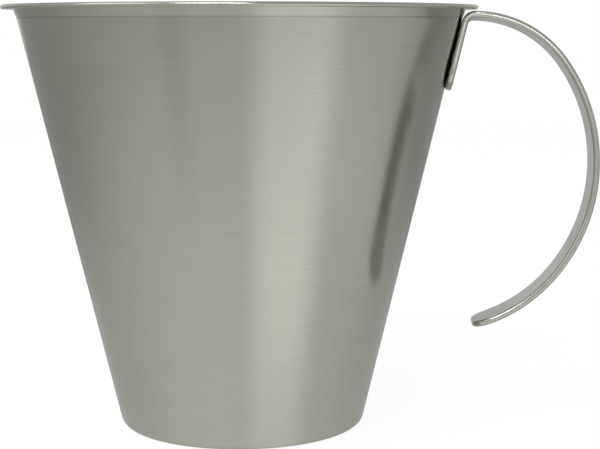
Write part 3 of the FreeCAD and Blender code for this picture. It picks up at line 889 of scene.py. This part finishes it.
def strip_steel(finish):
    """Polished strip with fine lines along it, smears and a few hairline scratches."""
    material, w = add_material("strip_steel")
    flat = w.add("ShaderNodeUVMap", uv_map="strip").outputs[0]
    spot = w.parts(flat)
    place = w.add("ShaderNodeTexCoord").outputs["Object"]
    lines = fine_lines(w, w.join(spot["X"], 0.0, spot["Y"]), 25.0, 4000.0)
    handled = handling(w, place, 18 * MM)
    scratches = 0.0
    scratch_run, scratch_fineness = 60.0, 5000.0
    for turn in (0.35, -0.5, 1.2):
        sine, cosine = math.sin(turn), math.cos(turn)
        across = w.math("MULTIPLY_ADD", spot["X"], sine, w.math("MULTIPLY", spot["Y"], cosine))
        along = w.math("MULTIPLY_ADD", spot["X"], cosine, w.math("MULTIPLY", spot["Y"], -sine))
        hair = w.noise(w.join(w.math("MULTIPLY", along, scratch_run), turn,
                              w.math("MULTIPLY", across, scratch_fineness)), 0.0)
        scratches = w.math("MAXIMUM", scratches, w.fade(hair, 0.74, 0.8))

    tone = w.mix(w.fade(lines["Fine"], 0.3, 0.7),
                 shade_of(finish.handle, 0.92), shade_of(finish.handle, 1.08))
    tone = w.mix(w.math("MULTIPLY", handled["Smears"], 0.3), tone, shade_of(finish.handle, 0.85))
    tone = w.mix(w.math("MULTIPLY", scratches, 0.4), tone, shade_of(finish.handle, 1.25))
    rough = w.math("MULTIPLY_ADD", lines["Fine"], 0.08, finish.handle_gloss - 0.04)
    rough = w.math("MULTIPLY_ADD", handled["Smears"], 0.08, rough)
    rough = w.math("MULTIPLY_ADD", scratches, 0.15, rough)
    relief = w.math("MULTIPLY_ADD", scratches, -0.8, lines["Fine"])
    normal = w.bump(relief, finish.handle_lines)
    normal = w.bump(handled["Unevenness"], finish.handle_waves, normal)
    tangent = w.add("ShaderNodeTangent", direction_type="UV_MAP", uv_map="strip").outputs[0]
    values = {"Anisotropic": finish.handle_brush, "Anisotropic Rotation": ACROSS_THE_LINES}
    return finish_material(material, w, values, tone, rough, normal, tangent)


def etched_steel(finish):
    """Darkened steel of the numbers, a little worn."""
    material, w = add_material("etched_steel")
    place = w.add("ShaderNodeTexCoord").outputs["Object"]
    handled = handling(w, place, 4 * MM)
    worn = w.math("MULTIPLY", handled["Smears"], 0.25)
    tone = w.mix(worn, shade_of(finish.etched), shade_of(finish.vessel, 0.8))
    rough = w.math("MULTIPLY_ADD", handled["Smears"], -0.1, 0.55)
    return finish_material(material, w, {}, tone, rough, w.bump(handled["Smears"], 0.01 * MM))


def weld_steel(finish):
    """Weld metal, cast and grainy, with a straw tint in patches."""
    material, w = add_material("weld_steel")
    place = w.add("ShaderNodeTexCoord").outputs["Object"]
    handled = handling(w, place, 1.2 * MM)
    tone = w.mix(handled["Smears"], shade_of(finish.weld), shade_of(finish.heat_tint))
    rough = w.math("MULTIPLY_ADD", handled["Unevenness"], 0.2, 0.35)
    return finish_material(material, w, {}, tone, rough, w.bump(handled["Smears"], 0.02 * MM))


# Operators


def settings(name):
    return getattr(bpy.context.scene, name)


def keep_piece(piece, slot, *nodes):
    """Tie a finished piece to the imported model."""
    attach(piece, BODY)
    if nodes:
        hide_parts(*nodes)


class JUG_OT_vessel(Operator):
    """Spin the vessel from one sheet, with its folded rim and its measuring lines"""

    bl_idname = "jug.vessel"
    bl_label = "Spin the vessel"

    def execute(self, context):
        sizes, marks, finish = settings("jug_vessel"), settings("jug_marks"), settings("jug_finish")
        rows = vessel_profile(sizes, marks)
        points = [(radius, 0.0, up) for radius, up, _, _ in rows]
        edges = [(index, index + 1) for index in range(len(rows) - 1)]
        vessel = new_mesh_object("vessel", points, edges)
        for name, column in (("mark_depth", 2), ("mark_reach", 3)):
            attribute = vessel.data.attributes.new(name, "FLOAT", "POINT")
            attribute.data.foreach_set("value", [row[column] for row in rows])
        material = spun_steel(finish, sizes, marks, settings("jug_handle"))
        run_tree(vessel, turned_sheet_tree(), {
            "Rows": len(rows), "Columns": sizes.columns, "Sharp above": SHEET_SHARP_ANGLE,
            "Material": material})
        face_outwards(vessel.data)
        keep_piece(vessel, "vessel_steel", "jug_body")
        return {"FINISHED"}


class JUG_OT_numbers(Operator):
    """Put the numbers beside the long lines, inside the wall"""

    bl_idname = "jug.numbers"
    bl_label = "Number the lines"

    def execute(self, context):
        sizes, marks, finish = settings("jug_vessel"), settings("jug_marks"), settings("jug_finish")
        section = Section(sizes)
        numbers = flat_numbers(sizes, marks, section)
        run_tree(numbers, on_the_wall_tree(), {
            "Turn": math.pi / 2 - marks.long_arc / 2 - marks.number_gap,
            "Foot radius": section.inside(sizes, 0.0), "Lean": section.lean,
            "Sink": marks.number_sink - marks.number_relief / 2, "Sharp above": EDGE_SHARP_ANGLE,
            "Material": etched_steel(finish)})
        face_outwards(numbers.data)
        keep_piece(numbers, "vessel_steel")
        return {"FINISHED"}


class JUG_OT_handle(Operator):
    """Cut the strip, round it and bend it along the handle's path"""

    bl_idname = "jug.handle"
    bl_label = "Bend the handle"

    def execute(self, context):
        sizes, handle, finish = settings("jug_vessel"), settings("jug_handle"), settings("jug_finish")
        section = Section(sizes)
        path = strip_path(handle, section)
        total = sum((end - start).length for start, end in zip(path, path[1:]))
        points, faces = flat_blank(handle, total)
        strip = new_mesh_object("handle_strip", points, (), faces)
        layer = strip.data.uv_layers.new(name="strip")
        for loop in strip.data.loops:
            along, aside, up = strip.data.vertices[loop.vertex_index].co
            layer.data[loop.index].uv = (along, aside + up)
        line = path_curve("handle_path", path)
        material = strip_steel(finish)
        run_tree(strip, bent_strip_tree(), {
            "Path": line, "Sharp above": EDGE_SHARP_ANGLE, "Material": material})
        bpy.data.objects.remove(line)
        strip.data.transform(tang_frame(sizes, handle, section))
        face_outwards(strip.data)
        keep_piece(strip, "handle_steel", "handle")
        return {"FINISHED"}


class JUG_OT_welds(Operator):
    """Finish the spot welds between wall and tang"""

    bl_idname = "jug.welds"
    bl_label = "Finish the welds"

    def execute(self, context):
        finish = settings("jug_finish")
        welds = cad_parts["spot_welds"]
        welds.data.materials.clear()
        welds.data.materials.append(weld_steel(finish))
        return {"FINISHED"}


class JUG_OT_stage(Operator):
    """Put the jug on a plain pale floor in soft light, seen as in the photograph"""

    bl_idname = "jug.stage"
    bl_label = "Set the stage"

    def execute(self, context):
        stage = settings("jug_stage")
        add_floor(stage)
        add_lamps()
        add_world(stage)
        add_camera(stage)
        context.scene.view_settings.view_transform = "Standard"
        return {"FINISHED"}


def add_floor(stage):
    """Pale floor, white to the lens. The steel sees it glow with painted light: a painted shadow under the
    foot, painted pools of light and a painted strip of shade.
    """
    material, w = add_material("pale_floor")
    rays = w.add("ShaderNodeLightPath").outputs
    plain = w.math("MAXIMUM", rays["Is Camera Ray"], rays["Is Transmission Ray"])
    spot = w.parts(w.add("ShaderNodeTexCoord").outputs["Object"])
    flat = w.join(spot["X"], spot["Y"], 0.0)
    away = w.length(flat)
    lens = Vector((math.sin(stage.handle_bearing), -math.cos(stage.handle_bearing), 0.0))
    # The sides of a sector meet here, so that the tapered wall shows them as upright bands.
    focus = w.scale(tuple(lens), w.fade(away, 40 * MM, 300 * MM, 22 * MM, 39 * MM))
    spread = w.vector("SUBTRACT", flat, focus)
    least_spread = 1.0 * MM

    def sector(bearing, half_angle):
        """1 in the middle of a sector of the floor and 0 beyond its sides. Bearings are off the lens."""
        ahead = Matrix.Rotation(bearing, 3, "Z") @ lens
        turned = w.math("DIVIDE", w.vector("DOT_PRODUCT", spread, tuple(ahead)),
                        w.math("MAXIMUM", w.length(spread), least_spread))
        return w.fade(turned, math.cos(half_angle), 1.0)

    # Painted light, seen only in the steel: brighter near the foot and fading outwards, with a painted
    # shadow under the foot and painted shade behind the jug.
    glow = w.fade(away, 50 * MM, 400 * MM, stage.near_glow, stage.far_glow)
    glow = w.math("MULTIPLY", glow, w.fade(away, 33 * MM, 40 * MM, stage.foot_glow, 1.0))
    front = sector(0.0, stage.front_spread)
    front = w.math("MULTIPLY_ADD", front, 1.0 - stage.back_glow, stage.back_glow)
    glow = w.math("MULTIPLY", glow, front)
    # Painted pools of light in front of, beside and behind the jug, and a painted strip of shade.
    pool_sharpness = 1.4
    pool = w.math("POWER", sector(stage.pool_bearing, stage.pool_spread), pool_sharpness)
    pool = w.math("MULTIPLY", pool, w.fade(away, 30 * MM, 120 * MM, 0.4, 1.0))
    back = sector(math.pi, stage.back_pool_spread)
    side = sector(stage.side_bearing, stage.side_spread)
    side = w.math("MULTIPLY", side, w.fade(away, 80 * MM, 250 * MM))
    shade = sector(-stage.shade_bearing, stage.shade_spread)
    shade = w.math("MULTIPLY", shade, w.fade(away, 120 * MM, 250 * MM))
    for mask, amount in ((pool, stage.pool_glow), (back, stage.back_pool),
                         (side, stage.side_glow), (shade, -stage.shade_depth)):
        glow = w.math("MULTIPLY_ADD", mask, amount, glow)

    # To the lens, the glow and the light that falls on the floor come to white together,
    # and a shadow takes away the second of them.
    glossy_share, plain_share, plain_strength = 0.85, 0.8, 1.12
    strength = w.math("MULTIPLY", plain, plain_strength)
    strength = w.math("MULTIPLY_ADD", rays["Is Glossy Ray"], glow, strength)
    glowing_share = w.math("MULTIPLY", plain, plain_share)
    glowing_share = w.math("MULTIPLY_ADD", rays["Is Glossy Ray"], glossy_share, glowing_share)
    lit = w.add("ShaderNodeBsdfDiffuse", {"Color": shade_of(stage.floor)})
    glowing = w.add("ShaderNodeEmission", {"Color": WHITE, "Strength": strength})
    mix = w.add("ShaderNodeMixShader", {0: glowing_share, 1: lit.outputs[0], 2: glowing.outputs[0]})
    w.feed(w.add("ShaderNodeOutputMaterial").inputs["Surface"], mix.outputs[0])

    reach = stage.floor_reach
    corners = [(-reach, -reach, 0), (reach, -reach, 0), (reach, reach, 0), (-reach, reach, 0)]
    floor = new_mesh_object("floor", corners, (), [(0, 1, 2, 3)])
    floor.data.materials.append(material)


# Each lamp's name, place, width and height, and watts
LAMPS = (
    ("key", (-0.09, -0.74, 0.70), (0.45, 0.26), 2.3),
    ("fill", (-0.9, -0.6, 0.8), (0.9, 0.9), 3.0),
    ("edge", (0.17, -1.0, 0.25), (0.12, 0.12), 0.15),
)


def add_lamps():
    """Lamps that all face a point low in the jug."""
    target = Vector((0.0, 0.0, 50 * MM))
    for name, place, size, power in LAMPS:
        data = bpy.data.lights.new(name, "AREA")
        data.shape = "RECTANGLE"
        data.size, data.size_y = size
        data.energy = power
        lamp = bpy.data.objects.new(name, data)
        lamp.location = place
        lamp.rotation_euler = (target - Vector(place)).to_track_quat("-Z", "Y").to_euler()
        bpy.context.scene.collection.objects.link(lamp)


def add_world(stage):
    """White room, which the steel mirrors darker, most of all overhead."""
    world = bpy.data.worlds.new("pale_room")
    w = empty_nodes(world)
    rays = w.add("ShaderNodeLightPath").outputs
    plain = w.math("MAXIMUM", rays["Is Camera Ray"], rays["Is Transmission Ray"])
    upward = w.parts(w.add("ShaderNodeTexCoord").outputs["Generated"])["Z"]
    overhead = 0.7
    glow = w.fade(upward, 0.0, overhead, stage.room_glow, stage.overhead_glow)
    light = stage.room_light
    glossy = w.math("MULTIPLY", rays["Is Glossy Ray"], w.math("SUBTRACT", glow, light))
    strength = w.math("ADD", w.math("MULTIPLY_ADD", plain, 1.0 - light, light), glossy)
    back = w.add("ShaderNodeBackground", {"Color": WHITE, "Strength": strength})
    w.feed(w.add("ShaderNodeOutputWorld").inputs["Surface"], back.outputs[0])
    bpy.context.scene.world = world


def add_camera(stage):
    """Camera at the photograph's place, with the handle turned towards it by its bearing."""
    bearing, distance = stage.handle_bearing, stage.camera_distance
    heading, pitch = stage.yaw - bearing, stage.pitch
    ahead = Vector((math.sin(heading) * math.cos(pitch), math.cos(heading) * math.cos(pitch),
                    -math.sin(pitch)))
    data = bpy.data.cameras.new("camera")
    data.lens = stage.focal_length
    data.sensor_width = 36.0
    camera = bpy.data.objects.new("camera", data)
    camera.rotation_mode = "QUATERNION"
    level = ahead.to_track_quat("-Z", "Y")
    camera.rotation_quaternion = level @ Matrix.Rotation(stage.roll, 3, "Z").to_quaternion()
    camera.location = (math.sin(bearing) * distance, -math.cos(bearing) * distance,
                       stage.camera_height)
    bpy.context.scene.collection.objects.link(camera)
    bpy.context.scene.camera = camera


class JUG_PT_sidebar(Panel):
    """Buttons for each piece of the jug and for the stage"""

    bl_idname = "JUG_PT_sidebar"
    bl_label = "Measuring jug"
    bl_space_type = "VIEW_3D"
    bl_region_type = "UI"
    bl_category = "Jug"

    def draw(self, context):
        for operator in OPERATORS:
            self.layout.operator(operator.bl_idname)


OPERATORS = (JUG_OT_vessel, JUG_OT_numbers, JUG_OT_handle, JUG_OT_welds, JUG_OT_stage)


def register():
    for group in (*SETTINGS.values(), *OPERATORS, JUG_PT_sidebar):
        bpy.utils.register_class(group)
    for name, group in SETTINGS.items():
        setattr(bpy.types.Scene, name, PointerProperty(type=group))


def unregister():
    for name in SETTINGS:
        delattr(bpy.types.Scene, name)
    for group in reversed((*SETTINGS.values(), *OPERATORS, JUG_PT_sidebar)):
        bpy.utils.unregister_class(group)


def main():
    register()
    bpy.ops.jug.vessel()
    bpy.ops.jug.numbers()
    bpy.ops.jug.handle()
    bpy.ops.jug.welds()
    bpy.ops.jug.stage()


if __name__ == "__main__":
    main()
